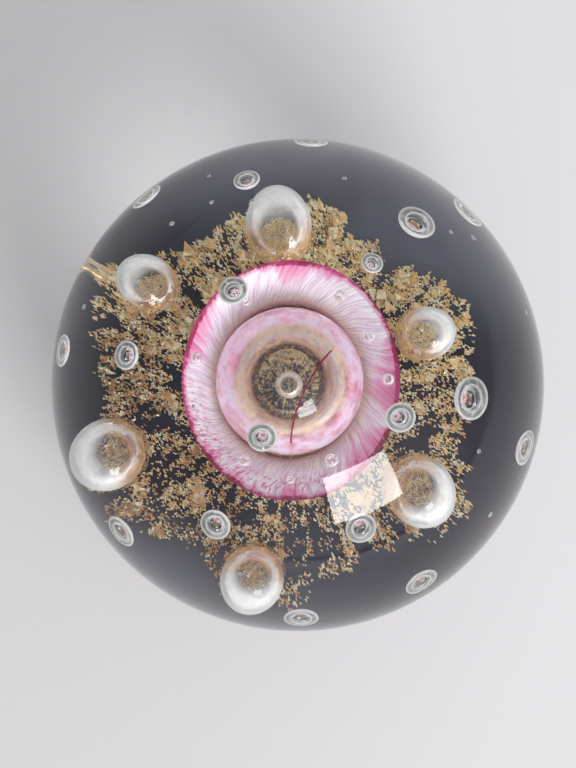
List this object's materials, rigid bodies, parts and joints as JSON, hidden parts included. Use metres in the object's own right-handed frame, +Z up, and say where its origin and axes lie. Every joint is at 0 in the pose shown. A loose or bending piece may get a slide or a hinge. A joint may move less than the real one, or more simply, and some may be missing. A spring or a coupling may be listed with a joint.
{
  "type": "glass paperweight",
  "caption": "Round clear glass paperweight with a flat base, holding a pink and white cup around a large air bubble over gold leaf on dark glass, with rings of trapped bubbles.",
  "frame": {"origin": "middle of the flat base, on the surface that the paperweight stands on", "axes": "+Z up through the middle of the ball; +X and +Y are level, and bearings in the part are counter-clockwise from +X seen from above"},
  "size_m": [0.08, 0.08, 0.068],
  "materials": {
    "clear_glass": "fire-polished clear soda-lime or lead crystal, refractive index about 1.5",
    "navy_glass": "opaque dark navy glass, glossy",
    "gold_leaf": "broken metal leaf, crinkled, bright",
    "pink_glass": "translucent to opaque pink glass, streaked",
    "white_veil": "opaque white glass in fine streaks",
    "trapped_air": "air: the bright wall of a bubble"
  },
  "bodies": {
    "root": {"central_bubble": "trapped_air", "crown_bubble_1": "trapped_air", "crown_bubble_2": "trapped_air", "crown_bubble_3": "trapped_air", "crown_bubble_4": "trapped_air", "cup_bubbles": "trapped_air", "dark_ground": "navy_glass", "girdle_bubble_1": "trapped_air", "girdle_bubble_2": "trapped_air", "girdle_bubble_3": "trapped_air", "girdle_bubble_4": "trapped_air", "girdle_bubble_5": "trapped_air", "girdle_bubble_6": "trapped_air", "girdle_bubble_7": "trapped_air", "girdle_bubble_8": "trapped_air", "gold_flakes": "gold_leaf", "gold_leaf": "gold_leaf", "heart_bubble": "trapped_air", "inner_gather": "clear_glass", "large_bubble_1": "trapped_air", "large_bubble_2": "trapped_air", "large_bubble_3": "trapped_air", "large_bubble_4": "trapped_air", "large_bubble_5": "trapped_air", "large_bubble_6": "trapped_air", "outer_casing": "clear_glass", "pink_cup": "pink_glass", "pink_thread": "pink_glass", "seed_bubbles": "trapped_air", "shoulder_bubble_1": "trapped_air", "shoulder_bubble_2": "trapped_air", "shoulder_bubble_3": "trapped_air", "shoulder_bubble_4": "trapped_air", "shoulder_bubble_5": "trapped_air", "shoulder_bubble_6": "trapped_air", "white_veil": "white_veil"}
  },
  "joints": []
}
